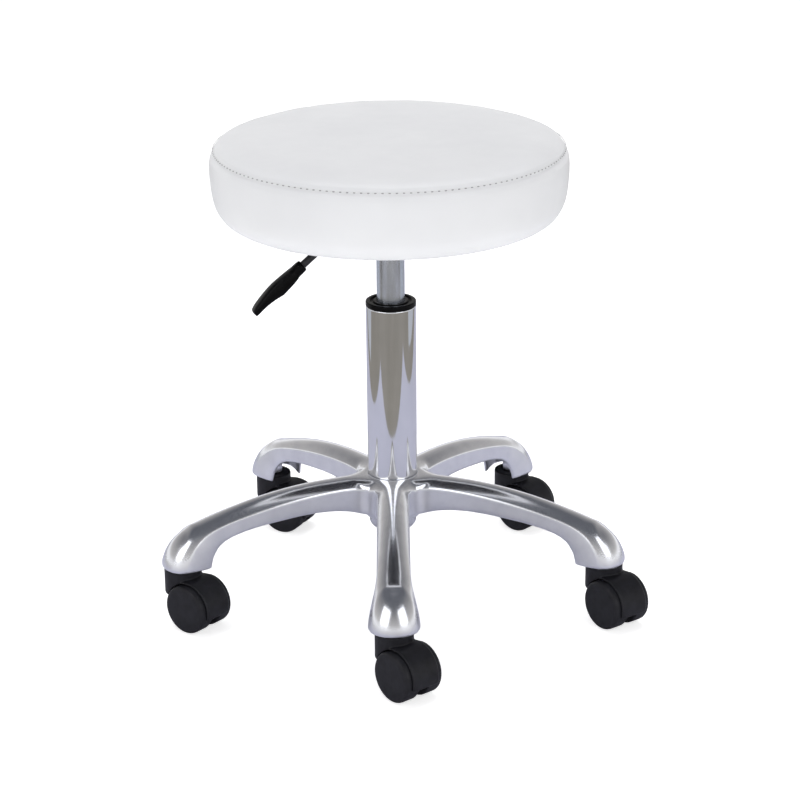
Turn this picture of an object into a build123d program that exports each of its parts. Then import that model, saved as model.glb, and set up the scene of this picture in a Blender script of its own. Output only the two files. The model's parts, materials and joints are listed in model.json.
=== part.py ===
"""Dentist stool: round padded seat on a gas lift, five-leg cast base, twin-wheel hooded casters.

Units are millimetres. The origin is on the floor under the column's axis, +Z is up, and one leg points
along -Y.
"""

import os
from math import atan2, cos, degrees, radians, sin, sqrt

from build123d import *

# Overall
LEG_COUNT = 5
FIRST_LEG_DEG = -90
LEG_STEP_DEG = 360 / LEG_COUNT
RUNNING_GAP = 0.06
SEATED_GAP = 0.03

# Base casting
CASTER_CIRCLE_R = 222
LEG_HALF_WIDTH = 15.8
WEB_FILLET_R = 18
FOOT_HALF_WIDTH = 24.2
FOOT_NOSE = 20.6
FOOT_BOTTOM_Z = 62
FOOT_INNER_R = 193
CAST_WALL = 4
HUB_R = 33
HUB_TOP_Z = 133
HUB_BOTTOM_Z = 88
HUB_BOSS_R = 28
# Radius and height along a leg: the crown's line and the walls' lower edge
CROWN_LINE = [(25, 133), (60, 132.6), (97, 130.4), (130, 125.6), (165, 117), (195, 107.5), (213, 99.5)]
CROWN_END = [(226, 91.5), (235, 81.5), (240.5, 71)]
# Height and share of the foot's width there: it narrows upwards like a bell
FOOT_TAPER = [(62, 1), (70, 0.97), (78, 0.9), (86, 0.8), (94, 0.7), (104, 0.62)]
FOOT_HEIGHT = 42
FOOT_SIDE_DEG = 13
RIB_END_R = 100
RIB_T = 3
LOWER_LINE = [(40, 97), (58, 103), (85, 105), (115, 103.5), (150, 98.5), (172, 92), (184, 83.5), (190, 75)]

# Casters
WHEEL_R = 25
WHEEL_FACE = 22.6
WHEEL_INNER_FACE = 4.6
CASTER_TRAIL = 20
HOOD_R = 27.8
HOOD_HALF_WIDTH = 16.4
HOOD_RIB = 4
HOOD_EDGE_Z = 18
HOOD_FRONT_EDGE_Z = 34
NECK_R = 18.7
NECK_TOP_Z = 61.4
AXLE_R = 4
AXLE_HALF = 17
STEM_R = 5.5
STEM_TOP_Z = 82
STEM_BOTTOM_Z = 40
STEM_LOWER_R = 4.5
STEM_BOSS_R = 10
# Direction in which each caster trails, clockwise from +X
CASTER_TRAIL_DEG = [50.6, 53.7, 41.6, 27.7, 39.2]

# Column
COLUMN_R = 25
COLUMN_BORE_R = 23
COLUMN_TOP_Z = 311
COLUMN_BOTTOM_Z = 75
COLUMN_TAPER_TOP_Z = 133
TAPER_SLOPE = 0.025
CAP_R = 25.2
CAP_TOP_Z = 316.2
BUSH_BOTTOM_Z = 205
END_PLATE_Z = 77
END_PLATE_T = 4
END_PLATE_R = 21.5
COLUMN_LOWER_BORE_R = 21.6
COLUMN_LIP_R = 18
COLUMN_ROLL = 4
CAP_GROOVE_R = 17.5
CAP_GROOVE_OUTER_R = 21
CAP_GROOVE_DEPTH = 1.6

# Gas lift
CYLINDER_R = 14
CYLINDER_BORE_R = 12.5
CYLINDER_BOTTOM_Z = 100
CYLINDER_TOP_Z = 388
SOCKET_BOTTOM_Z = 364
GAS_SPACE_TOP_Z = 340
GLAND_T = 22
SEAL_T = 4
ROD_R = 5
ROD_END_R = 4
ROD_TOP_Z = 276
PISTON_Z = 262
PISTON_T = 10
RELEASE_PIN_R = 4
RELEASE_PIN_TOP_Z = 393.7
RELEASE_PIN_BOTTOM_Z = 356

# Thrust bearing
RACE_T = 1.5
RACE_R = 13
BALL_R = 1.58
BALL_GAP = 0.02
BALL_CIRCLE_R = 9.5
BALL_COUNT = 12

# Seat
SEAT_R = 176.6
SEAT_BOTTOM_Z = 404
SEAT_TOP_Z = 482
SEAT_FLAT_R = 105
COVER_T = 1.2
COVER_HEM_R = 130
BOARD_R = 147
BOARD_T = 12
BOARD_Z = SEAT_BOTTOM_Z + COVER_T
STAPLE_COUNT = 24
STAPLE_CIRCLE_R = 138

# Seat plate and its fasteners
PLATE_HALF = 72
PLATE_T = 2.5
POCKET_R = 48
POCKET_FLOOR_Z = 385
SOCKET_R = 17.5
BOLT_OFFSET = 57
BOLT_R = 3

# Lever
LEVER_DEG = 195
LEVER_ROD_R = 3.75
LEVER_Z = 398
PIVOT_R = 30
LEVER_BEND_AT = 43
LEVER_BEND_R = 18
LEVER_TIP_R = 141
LEVER_TIP_Z = 317
GRIP_LENGTH = 68
GRIP_HALF_WIDTH = 8
ROD_IN_GRIP = 28
# The flat handle's side outline: distance from its tip and height off the rod's line
GRIP_OUTLINE = [
    (GRIP_LENGTH, 6.2),
    (GRIP_LENGTH, -6.4),
    (50, -7.6),
    (35, -8.8),
    (24, -6.2),
    (12, -5.2),
    (2, -6.4),
    (0, 0.2),
    (7, 2.8),
    (22, 6),
    (36, 6.9),
]
PIVOT_PIN_R = 2.5
EAR_INNER = 6
EAR_T = 2.5


def at_angle(shape, angle, radius=0):
    """Move a shape out along +X by radius, then turn it about Z."""
    return Rot(0, 0, angle) * Pos(radius, 0, 0) * shape


def leg_angle(index):
    return FIRST_LEG_DEG + LEG_STEP_DEG * index


def tube(outer, inner, low, high):
    ring = Circle(outer)
    ring -= Circle(inner)
    return Pos(0, 0, low) * extrude(ring, high - low)


def rod(radius, low, high):
    return Pos(0, 0, low) * extrude(Circle(radius), high - low)


def block(size_x, size_y, low, high):
    return Pos(0, 0, low) * extrude(Rectangle(size_x, size_y), high - low)


def turned(points):
    """Revolve a closed outline of (radius, height) points about Z."""
    outline = make_face(Polyline(*[(r, 0, z) for r, z in points], close=True))
    return revolve(outline, Axis.Z)


def taper_r(z):
    """Radius of the column's outside, which narrows inside the hub."""
    return COLUMN_R - TAPER_SLOPE * max(0, COLUMN_TAPER_TOP_Z - z)


def cylinder_r(z):
    """Radius of the gas cylinder, which narrows inside the seat plate's socket."""
    return CYLINDER_R - TAPER_SLOPE * max(0, z - SOCKET_BOTTOM_Z)


# ---------------------------------------------------------------- base casting


def leg_plan(half_width, web_r):
    """Plan of the star's straight legs, from the axis to the caster circle, the inside corners filleted."""
    corner_r = half_width / sin(radians(LEG_STEP_DEG / 2))
    plan = Circle(corner_r)
    for i in range(LEG_COUNT):
        leg = Pos(CASTER_CIRCLE_R / 2, 0) * Rectangle(CASTER_CIRCLE_R, 2 * half_width)
        plan += Rot(0, 0, leg_angle(i)) * leg
    corners = [v for v in plan.vertices() if abs(sqrt(v.X**2 + v.Y**2) - corner_r) < 0.5]
    return fillet(corners, web_r)


def foot(inset):
    """Bell-shaped foot at the end of a leg on +X, wide at the bottom, with a flare back towards the hub."""
    bell = turned([(0, FOOT_BOTTOM_Z)] + [(FOOT_HALF_WIDTH * share - inset, z) for z, share in FOOT_TAPER]
                  + [(0, FOOT_TAPER[-1][0])])
    rear = LEG_HALF_WIDTH + 1 - inset
    front = FOOT_HALF_WIDTH - 1 - inset
    outline = Polyline((FOOT_INNER_R, -rear), (CASTER_CIRCLE_R - 4, -front), (CASTER_CIRCLE_R - 4, front),
                       (FOOT_INNER_R, rear), close=True)
    flare = Pos(0, 0, FOOT_BOTTOM_Z) * extrude(make_face(outline), FOOT_HEIGHT, taper=FOOT_SIDE_DEG)
    return Pos(CASTER_CIRCLE_R, 0, 0) * bell + flare


def star_base():
    nose = (CASTER_CIRCLE_R + FOOT_NOSE, FOOT_BOTTOM_Z)
    outer = turned([(0, HUB_TOP_Z), (24, HUB_TOP_Z)] + CROWN_LINE + CROWN_END + [nose]
                   + [(FOOT_INNER_R, FOOT_BOTTOM_Z)] + LOWER_LINE[::-1]
                   + [(HUB_BOSS_R, HUB_BOTTOM_Z + 2), (HUB_BOSS_R, HUB_BOTTOM_Z), (0, HUB_BOTTOM_Z)])
    star = extrude(leg_plan(LEG_HALF_WIDTH, WEB_FILLET_R), HUB_TOP_Z + 10)
    inside = extrude(leg_plan(LEG_HALF_WIDTH - CAST_WALL, WEB_FILLET_R + CAST_WALL), HUB_TOP_Z + 10)
    for i in range(LEG_COUNT):
        star += at_angle(foot(0), leg_angle(i))
        inside += at_angle(foot(CAST_WALL), leg_angle(i))

    roof = [(r, z - CAST_WALL - 1.5) for r, z in CROWN_LINE + CROWN_END if HUB_R < r < 230]
    toe_r = nose[0] - CAST_WALL
    under = turned([(HUB_R, 50), (HUB_R, 126)] + roof + [(toe_r, 70), (toe_r, 50)])
    body = (star & outer) - (inside & under)

    for i in range(LEG_COUNT):
        boss = rod(STEM_BOSS_R, FOOT_BOTTOM_Z, 90)
        rib = Pos((HUB_R + RIB_END_R) / 2, 0, 0) * block(RIB_END_R - HUB_R + 2, RIB_T, 108, 127)
        body += at_angle(boss, leg_angle(i), CASTER_CIRCLE_R)
        body += at_angle(rib, leg_angle(i))
        socket = rod(STEM_R + SEATED_GAP, FOOT_BOTTOM_Z - 5, STEM_TOP_Z + 1)
        body -= at_angle(socket, leg_angle(i), CASTER_CIRCLE_R)

    low = HUB_BOTTOM_Z - 5
    high = HUB_TOP_Z + 5
    low_r = taper_r(low) + SEATED_GAP
    high_r = COLUMN_R + SEATED_GAP
    return body - turned([(0, low), (low_r, low), (high_r, COLUMN_TAPER_TOP_Z), (high_r, high), (0, high)])


# ---------------------------------------------------------------- column and thrust bearing


def column_tube():
    """Tube with a tapered foot, its lower rim rolled inwards under the end plate."""
    roll_top = COLUMN_BOTTOM_Z + COLUMN_ROLL
    outside = [
        (COLUMN_LIP_R, COLUMN_BOTTOM_Z),
        (taper_r(roll_top) - 3.6, COLUMN_BOTTOM_Z),
        (taper_r(roll_top) - 1, COLUMN_BOTTOM_Z + 1.2),
        (taper_r(roll_top), roll_top),
        (COLUMN_R, COLUMN_TAPER_TOP_Z),
        (COLUMN_R, COLUMN_TOP_Z),
    ]
    inside = [
        (COLUMN_BORE_R, COLUMN_TOP_Z),
        (COLUMN_BORE_R, COLUMN_TAPER_TOP_Z + 5),
        (COLUMN_LOWER_BORE_R, COLUMN_TAPER_TOP_Z - 40),
        (COLUMN_LOWER_BORE_R, END_PLATE_Z),
        (COLUMN_LIP_R, END_PLATE_Z),
    ]
    return turned(outside + inside)


def column_cap():
    ring = tube(CAP_R, CYLINDER_R + 0.4, COLUMN_TOP_Z, CAP_TOP_Z)
    groove = tube(CAP_GROOVE_OUTER_R, CAP_GROOVE_R, CAP_TOP_Z - CAP_GROOVE_DEPTH, CAP_TOP_Z + 1)
    rim = ring.edges().filter_by(GeomType.CIRCLE).group_by(Axis.Z)[-1]
    return fillet(rim, 1) - groove


def guide_bush():
    return tube(COLUMN_BORE_R - SEATED_GAP, CYLINDER_R + RUNNING_GAP, BUSH_BOTTOM_Z, COLUMN_TOP_Z)


def column_end_plate():
    return tube(END_PLATE_R, ROD_END_R + RUNNING_GAP, END_PLATE_Z, END_PLATE_Z + END_PLATE_T)


LOWER_RACE_Z = END_PLATE_Z + END_PLATE_T
BALL_Z = LOWER_RACE_Z + RACE_T + BALL_GAP + BALL_R
UPPER_RACE_Z = BALL_Z + BALL_R + BALL_GAP
BUMPER_Z = UPPER_RACE_Z + RACE_T


def thrust_balls():
    ball = Pos(0, 0, BALL_Z) * Sphere(BALL_R)
    step = 360 / BALL_COUNT
    return Compound(children=[at_angle(ball, step * i, BALL_CIRCLE_R) for i in range(BALL_COUNT)])


def piston_rod():
    return rod(ROD_END_R, 70.5, BUMPER_Z) + rod(ROD_R, BUMPER_Z, ROD_TOP_Z)


def piston():
    body = tube(CYLINDER_BORE_R - RUNNING_GAP, ROD_R + SEATED_GAP, PISTON_Z, PISTON_Z + PISTON_T)
    middle = PISTON_Z + PISTON_T / 2
    return body - tube(CYLINDER_BORE_R + 1, CYLINDER_BORE_R - 2.2, middle - 1.5, middle + 1.5)


def piston_seal():
    middle = PISTON_Z + PISTON_T / 2
    return tube(CYLINDER_BORE_R - 0.02, CYLINDER_BORE_R - 2.1, middle - 1.4, middle + 1.4)


def retaining_washer():
    return tube(10, ROD_END_R + SEATED_GAP, END_PLATE_Z - 2, END_PLATE_Z - 0.3)


def retaining_clip():
    ring = tube(7.5, ROD_END_R + SEATED_GAP, END_PLATE_Z - 3.4, END_PLATE_Z - 2.1)
    return ring - Pos(6, 0, 0) * block(8, 4, END_PLATE_Z - 5, END_PLATE_Z)


# ---------------------------------------------------------------- gas lift, upper half


def gas_cylinder():
    top_r = cylinder_r(CYLINDER_TOP_Z)
    outside = turned([(0, CYLINDER_BOTTOM_Z), (CYLINDER_R, CYLINDER_BOTTOM_Z), (CYLINDER_R, SOCKET_BOTTOM_Z),
                      (top_r, CYLINDER_TOP_Z), (0, CYLINDER_TOP_Z)])
    gas_space = rod(CYLINDER_BORE_R, CYLINDER_BOTTOM_Z - 1, GAS_SPACE_TOP_Z)
    valve_bore = rod(RELEASE_PIN_R + RUNNING_GAP, RELEASE_PIN_BOTTOM_Z - 6, CYLINDER_TOP_Z + 1)
    return outside - gas_space - valve_bore


def cylinder_gland():
    top = CYLINDER_BOTTOM_Z + GLAND_T - SEAL_T
    return tube(CYLINDER_BORE_R - SEATED_GAP, ROD_R + RUNNING_GAP, CYLINDER_BOTTOM_Z, top)


def rod_seal():
    top = CYLINDER_BOTTOM_Z + GLAND_T
    return tube(CYLINDER_BORE_R - SEATED_GAP, ROD_R + RUNNING_GAP, top - SEAL_T, top)


def release_pin():
    pin = rod(RELEASE_PIN_R, RELEASE_PIN_BOTTOM_Z, RELEASE_PIN_TOP_Z)
    return fillet(pin.edges().filter_by(GeomType.CIRCLE).group_by(Axis.Z)[-1], 1.8)


# ---------------------------------------------------------------- seat


def seat_profile(inset):
    """Closed outline of the upholstered seat, inset all round, as (radius, height) lines and arcs."""
    r = SEAT_R - inset
    low = SEAT_BOTTOM_Z + inset
    high = SEAT_TOP_Z - inset
    hem_r = 150
    lines = [
        Line((0, 0, low), (hem_r, 0, low)),
        ThreePointArc((hem_r, 0, low), (r - 8.5, 0, low + 9), (r - 2.4, 0, low + 28)),
        ThreePointArc((r - 2.4, 0, low + 28), (r, 0, 456), (r - 1.2, 0, 469)),
        ThreePointArc((r - 1.2, 0, 469), (r - 3.4, 0, high - 7.6), (r - 10, 0, high - 4)),
        ThreePointArc((r - 10, 0, high - 4), (r - 38, 0, high - 1.2), (SEAT_FLAT_R, 0, high)),
        Line((SEAT_FLAT_R, 0, high), (0, 0, high)),
        Line((0, 0, high), (0, 0, low)),
    ]
    return revolve(make_face(Wire(lines)), Axis.Z)


def seat_cover():
    shell = seat_profile(0) - seat_profile(COVER_T)
    return shell - rod(COVER_HEM_R, SEAT_BOTTOM_Z - 1, SEAT_BOTTOM_Z + COVER_T + 0.5)


def seat_foam():
    return seat_profile(COVER_T + 0.1) - rod(BOARD_R + 0.1, SEAT_BOTTOM_Z, BOARD_Z + BOARD_T)


def bolt_places():
    return [(x * BOLT_OFFSET, y * BOLT_OFFSET) for x in (-1, 1) for y in (-1, 1)]


def at_bolts(shape):
    return Compound(children=[Pos(x, y, 0) * shape for x, y in bolt_places()])


TEE_FLANGE_T = 1.5
BOARD_TOP_Z = BOARD_Z + BOARD_T
TEE_BARREL = 9


def seat_board():
    board = rod(BOARD_R, BOARD_Z, BOARD_TOP_Z)
    for x, y in bolt_places():
        board -= Pos(x, y, 0) * rod(5.1, BOARD_Z - 1, BOARD_TOP_Z)
        board -= Pos(x, y, 0) * rod(9.6, BOARD_TOP_Z - TEE_FLANGE_T, BOARD_TOP_Z + 1)
    return board


def seat_lining():
    disc = rod(COVER_HEM_R - 0.3, SEAT_BOTTOM_Z, BOARD_Z)
    for x, y in bolt_places():
        disc -= Pos(x, y, 0) * rod(BOLT_R + 0.5, SEAT_BOTTOM_Z - 1, BOARD_Z + 1)
    return disc


def staples():
    crown = block(1, 10, SEAT_BOTTOM_Z - 0.6, SEAT_BOTTOM_Z)
    step = 360 / STAPLE_COUNT
    return Compound(children=[at_angle(crown, step * i, STAPLE_CIRCLE_R) for i in range(STAPLE_COUNT)])


def tee_nuts():
    flange = tube(9.5, BOLT_R + 0.05, BOARD_TOP_Z - TEE_FLANGE_T, BOARD_TOP_Z)
    barrel = tube(5, BOLT_R + 0.05, BOARD_TOP_Z - TEE_BARREL, BOARD_TOP_Z - TEE_FLANGE_T)
    return at_bolts(flange + barrel)


PLATE_Z = SEAT_BOTTOM_Z - PLATE_T
WASHER_T = 1.5
BOLT_HEAD_H = 4


def seat_plate():
    flange = Pos(0, 0, PLATE_Z) * extrude(RectangleRounded(2 * PLATE_HALF, 2 * PLATE_HALF, 14), PLATE_T)
    flange -= rod(POCKET_R, PLATE_Z - 1, SEAT_BOTTOM_Z + 1)
    wall = tube(POCKET_R + PLATE_T, POCKET_R, POCKET_FLOOR_Z, PLATE_Z)
    floor = tube(POCKET_R, SOCKET_R, POCKET_FLOOR_Z, POCKET_FLOOR_Z + PLATE_T)
    plate = flange + wall + floor
    for side in (-1, 1):
        ear = block(12, EAR_T, POCKET_FLOOR_Z + PLATE_T, PLATE_Z)
        plate += Rot(0, 0, LEVER_DEG) * Pos(PIVOT_R, side * (EAR_INNER + EAR_T / 2), 0) * ear
    bore = Pos(PIVOT_R, 0, LEVER_Z) * Rot(90, 0, 0) * Cylinder(PIVOT_PIN_R + RUNNING_GAP, 4 * EAR_INNER)
    slot = Pos(POCKET_R + 6, 0, 0) * block(16, 2 * EAR_INNER, POCKET_FLOOR_Z - 1, SEAT_BOTTOM_Z + 1)
    plate -= Rot(0, 0, LEVER_DEG) * (bore + slot)
    for x, y in bolt_places():
        plate -= Pos(x, y, 0) * rod(BOLT_R + 0.4, PLATE_Z - 1, SEAT_BOTTOM_Z + 1)
    return plate


def taper_socket():
    top = POCKET_FLOOR_Z + PLATE_T
    bottom_r = cylinder_r(SOCKET_BOTTOM_Z) + SEATED_GAP
    top_r = cylinder_r(top) + SEATED_GAP
    return turned([(bottom_r, SOCKET_BOTTOM_Z), (SOCKET_R, SOCKET_BOTTOM_Z), (SOCKET_R, top), (top_r, top)])


def seat_washers():
    return at_bolts(tube(6, BOLT_R + 0.1, PLATE_Z - WASHER_T, PLATE_Z))


def seat_bolts():
    head_top = PLATE_Z - WASHER_T
    head = Pos(0, 0, head_top - BOLT_HEAD_H) * extrude(RegularPolygon(5.8, 6), BOLT_HEAD_H)
    return at_bolts(head + rod(BOLT_R, head_top, BOARD_TOP_Z - 1))


# ---------------------------------------------------------------- lever

LEVER_SLOPE_DEG = degrees(atan2(LEVER_Z - LEVER_TIP_Z, LEVER_TIP_R - LEVER_BEND_AT))


def lever_point(radius, height):
    """A point of the lever's own plane, which is turned to LEVER_DEG."""
    return (radius, 0, height)


def along_handle(distance):
    """Point on the sloping part's centre line, at a distance from its tip."""
    slope = radians(LEVER_SLOPE_DEG)
    return (LEVER_TIP_R - distance * cos(slope), LEVER_TIP_Z + distance * sin(slope))


def lever_rod():
    route = FilletPolyline(
        lever_point(-6, LEVER_Z),
        lever_point(LEVER_BEND_AT, LEVER_Z),
        lever_point(*along_handle(GRIP_LENGTH - ROD_IN_GRIP)),
        radius=LEVER_BEND_R,
    )
    start = Plane(origin=lever_point(-6, LEVER_Z), z_dir=(1, 0, 0))
    bent = sweep(start * Circle(LEVER_ROD_R), path=route)
    hole = Pos(PIVOT_R, 0, LEVER_Z) * Rot(90, 0, 0) * Cylinder(PIVOT_PIN_R + SEATED_GAP, 20)
    return Rot(0, 0, LEVER_DEG) * (bent - hole)


def pivot_pin():
    pin = Cylinder(PIVOT_PIN_R, 2 * (EAR_INNER + EAR_T) + 1)
    heads = [Pos(0, 0, s * (EAR_INNER + EAR_T + 1.1)) * Cylinder(4, 1.4) for s in (-1, 1)]
    return Rot(0, 0, LEVER_DEG) * Pos(PIVOT_R, 0, LEVER_Z) * Rot(90, 0, 0) * (pin + heads[0] + heads[1])


def lever_grip():
    slope = radians(LEVER_SLOPE_DEG)
    points = []
    for distance, height in GRIP_OUTLINE:
        r, z = along_handle(distance)
        points.append((r + height * sin(slope), 0, z + height * cos(slope)))
    face = make_face(Polyline(*points, close=True))
    grip = extrude(face, GRIP_HALF_WIDTH, dir=(0, 1, 0)) + extrude(face, GRIP_HALF_WIDTH, dir=(0, -1, 0))
    start = along_handle(GRIP_LENGTH + 10)
    direction = (cos(slope), 0, -sin(slope))
    bore = Plane(origin=lever_point(*start), z_dir=direction) * Cylinder(
        LEVER_ROD_R + SEATED_GAP, 10 + ROD_IN_GRIP, align=(Align.CENTER, Align.CENTER, Align.MIN)
    )
    long_edges = grip.edges().filter_by(lambda e: abs(abs(e.tangent_at(0).Y)) < 0.5)
    grip = fillet(long_edges, 1.5)
    return Rot(0, 0, LEVER_DEG) * (grip - bore)


# ---------------------------------------------------------------- casters


def caster_stems():
    stem = rod(STEM_R, FOOT_BOTTOM_Z, STEM_TOP_Z) + rod(STEM_LOWER_R, STEM_BOTTOM_Z, FOOT_BOTTOM_Z)
    stem -= tube(STEM_R + 1, STEM_R - 0.9, 72, 75)
    return Compound(children=[at_angle(stem, leg_angle(i), CASTER_CIRCLE_R) for i in range(LEG_COUNT)])


def grip_rings():
    ring = tube(STEM_R, STEM_R - 0.85, 72.1, 74.9) - Pos(STEM_R, 0, 0) * block(4, 2, 70, 77)
    return Compound(children=[at_angle(ring, leg_angle(i), CASTER_CIRCLE_R) for i in range(LEG_COUNT)])


def sideways(radius, low, high):
    """Cylinder along the axle's line, which is Y in the caster's own frame."""
    bar = Cylinder(radius, high - low, align=(Align.CENTER, Align.CENTER, Align.MIN))
    return Pos(CASTER_TRAIL, low, WHEEL_R) * Rot(-90, 0, 0) * bar


def caster_hood():
    """Neck, arched hood over both wheels, and the rib between them that carries the axle."""
    neck = rod(NECK_R, HOOD_FRONT_EDGE_Z + 2, NECK_TOP_Z)
    arch = sideways(HOOD_R, -HOOD_HALF_WIDTH, HOOD_HALF_WIDTH)
    arch = fillet(arch.edges().filter_by(GeomType.CIRCLE), 2)
    arch -= Pos(CASTER_TRAIL, 0, 0) * block(100, 60, -10, HOOD_EDGE_Z)
    arch -= Pos(CASTER_TRAIL - 50, 0, 0) * block(100, 60, -10, HOOD_FRONT_EDGE_Z)
    shell = neck + arch
    for low, high in ((HOOD_RIB, 40), (-40, -HOOD_RIB)):
        shell -= sideways(WHEEL_R + 0.9, low, high)
    shell += sideways(17, -HOOD_RIB, HOOD_RIB)
    shell -= sideways(AXLE_R + SEATED_GAP, -40, 40)
    return shell - rod(STEM_LOWER_R + RUNNING_GAP, STEM_BOTTOM_Z - 1, NECK_TOP_Z + 1)


def caster_axle():
    return sideways(AXLE_R, -AXLE_HALF, AXLE_HALF)


def caster_wheel(side):
    """Moulded wheel with a domed outer face, a hollow back and a blind hub for the axle."""
    r = WHEEL_R
    face = WHEEL_FACE
    inner = WHEEL_INNER_FACE
    bore = AXLE_R + RUNNING_GAP
    web = face - 4.6
    bore_end = AXLE_HALF + 0.4
    outline = [(bore, inner), (8, inner), (8, web), (r - 4, web), (r - 4, inner + 1), (r - 1, inner + 1),
               (r, inner + 2), (r, face - 4), (r - 0.6, face - 2), (r - 2, face - 0.8), (r - 4.5, face),
               (0, face), (0, bore_end), (bore, bore_end)]
    wheel = turned(outline)
    return Pos(CASTER_TRAIL, 0, WHEEL_R) * Rot(-90 * side, 0, 0) * wheel


def place_caster(shape, index):
    angle = radians(leg_angle(index))
    centre = (CASTER_CIRCLE_R * cos(angle), CASTER_CIRCLE_R * sin(angle), 0)
    return Pos(*centre) * Rot(0, 0, -CASTER_TRAIL_DEG[index]) * shape


# ---------------------------------------------------------------- all nodes


def nodes():
    parts = {
        "star_base": star_base(),
        "column_tube": column_tube(),
        "column_cap": column_cap(),
        "guide_bush": guide_bush(),
        "column_end_plate": column_end_plate(),
        "bearing_lower_race": tube(RACE_R, ROD_END_R + 1, LOWER_RACE_Z, LOWER_RACE_Z + RACE_T),
        "bearing_balls": thrust_balls(),
        "bearing_upper_race": tube(RACE_R, ROD_END_R + SEATED_GAP, UPPER_RACE_Z, UPPER_RACE_Z + RACE_T),
        "bump_stop": tube(11, ROD_R + SEATED_GAP, BUMPER_Z, CYLINDER_BOTTOM_Z - 0.5),
        "piston_rod": piston_rod(),
        "piston": piston(),
        "piston_seal": piston_seal(),
        "retaining_washer": retaining_washer(),
        "retaining_clip": retaining_clip(),
        "gas_cylinder": gas_cylinder(),
        "cylinder_gland": cylinder_gland(),
        "rod_seal": rod_seal(),
        "release_pin": release_pin(),
        "seat_cover": seat_cover(),
        "seat_foam": seat_foam(),
        "seat_board": seat_board(),
        "seat_lining": seat_lining(),
        "staples": staples(),
        "tee_nuts": tee_nuts(),
        "seat_plate": seat_plate(),
        "taper_socket": taper_socket(),
        "seat_washers": seat_washers(),
        "seat_bolts": seat_bolts(),
        "lever_rod": lever_rod(),
        "lever_grip": lever_grip(),
        "lever_pivot_pin": pivot_pin(),
        "caster_stems": caster_stems(),
        "grip_rings": grip_rings(),
    }
    for i in range(LEG_COUNT):
        parts[f"caster_{i + 1}_hood"] = place_caster(caster_hood(), i)
        parts[f"caster_{i + 1}_axle"] = place_caster(caster_axle(), i)
        parts[f"caster_{i + 1}_wheel_a"] = place_caster(caster_wheel(1), i)
        parts[f"caster_{i + 1}_wheel_b"] = place_caster(caster_wheel(-1), i)
    return parts


os.makedirs("parts", exist_ok=True)
for name, shape in nodes().items():
    export_step(shape, f"parts/{name}.step")
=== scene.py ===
"""Looks of the round stool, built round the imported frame. Metres, +Z up, one leg points along -Y."""

import json
from math import atan2, cos, pi, radians, sin, sqrt

import bmesh
import bpy
import numpy as np
from mathutils import Matrix, Vector, noise
from mathutils.kdtree import KDTree


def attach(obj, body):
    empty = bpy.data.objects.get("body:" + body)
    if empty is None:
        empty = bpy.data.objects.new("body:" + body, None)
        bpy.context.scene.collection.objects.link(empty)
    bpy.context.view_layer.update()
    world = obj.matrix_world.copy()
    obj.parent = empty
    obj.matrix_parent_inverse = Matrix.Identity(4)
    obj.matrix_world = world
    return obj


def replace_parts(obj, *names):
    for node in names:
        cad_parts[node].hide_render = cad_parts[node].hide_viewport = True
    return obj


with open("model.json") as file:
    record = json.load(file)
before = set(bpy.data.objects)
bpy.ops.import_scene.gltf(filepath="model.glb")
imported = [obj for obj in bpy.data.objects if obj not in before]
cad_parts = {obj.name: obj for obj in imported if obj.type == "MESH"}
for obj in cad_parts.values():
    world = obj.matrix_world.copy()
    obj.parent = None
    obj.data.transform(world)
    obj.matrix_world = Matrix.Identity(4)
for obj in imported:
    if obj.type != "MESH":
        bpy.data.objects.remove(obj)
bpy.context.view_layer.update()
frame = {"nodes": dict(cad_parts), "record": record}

MM = 0.001
LEGS = 5
CASTER_R = 222.0
CASTER_TRAIL_DEG = [50.6, 53.7, 41.6, 27.7, 39.2]


# ---------------------------------------------------------------- small mesh tools


def mesh_object(name, points, faces, material, body=None):
    """A smooth-shaded object from points in millimetres."""
    mesh = bpy.data.meshes.new(name)
    mesh.from_pydata([[c * MM for c in p] for p in points], [], faces)
    mesh.update()
    mesh.shade_smooth()
    obj = bpy.data.objects.new(name, mesh)
    bpy.context.scene.collection.objects.link(obj)
    obj.data.materials.append(material)
    if body:
        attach(obj, body)
    return obj


def rounded(profile, steps=4):
    """Open outline of (x, z) or (x, z, corner radius), with its corners rounded."""
    pts = [Vector(p[:2]) for p in profile]
    out = [pts[0]]
    for i in range(1, len(pts) - 1):
        radius = profile[i][2] if len(profile[i]) > 2 else 0
        back, ahead = pts[i - 1] - pts[i], pts[i + 1] - pts[i]
        cut = min(radius, 0.48 * back.length, 0.48 * ahead.length)
        if cut < 1e-6:
            out.append(pts[i])
            continue
        p, q = pts[i] + back.normalized() * cut, pts[i] + ahead.normalized() * cut
        for k in range(steps + 1):
            t = k / steps
            out.append(p * (1 - t) ** 2 + pts[i] * 2 * t * (1 - t) + q * t * t)
    out.append(pts[-1])
    return [(p.x, p.y) for p in out]


def lathe(profile, segments=96):
    """Points and faces of an outline of (radius, height) turned about Z.

    The outline is closed if it ends where it starts.
    """
    points, faces, rings = [], [], []
    closed = len(profile) > 2 and (Vector(profile[0]) - Vector(profile[-1])).length < 1e-6
    for r, z in profile[:-1] if closed else profile:
        if r < 1e-6:
            rings.append([len(points)] * segments)
            points.append((0, 0, z))
            continue
        rings.append(list(range(len(points), len(points) + segments)))
        for k in range(segments):
            points.append((r * cos(2 * pi * k / segments), r * sin(2 * pi * k / segments), z))
    if closed:
        rings.append(rings[0])
    for low, high in zip(rings, rings[1:]):
        for k in range(segments):
            n = (k + 1) % segments
            ring = [low[k], low[n], high[n], high[k]]
            face = [v for i, v in enumerate(ring) if v not in ring[:i]]
            if len(face) > 2:
                faces.append(face)
    return points, faces


def turned(name, profile, material, body, segments=96):
    points, faces = lathe(profile, segments)
    obj = mesh_object(name, points, faces, material, body)
    obj.modifiers.new("normals", "WEIGHTED_NORMAL")
    return obj


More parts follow.
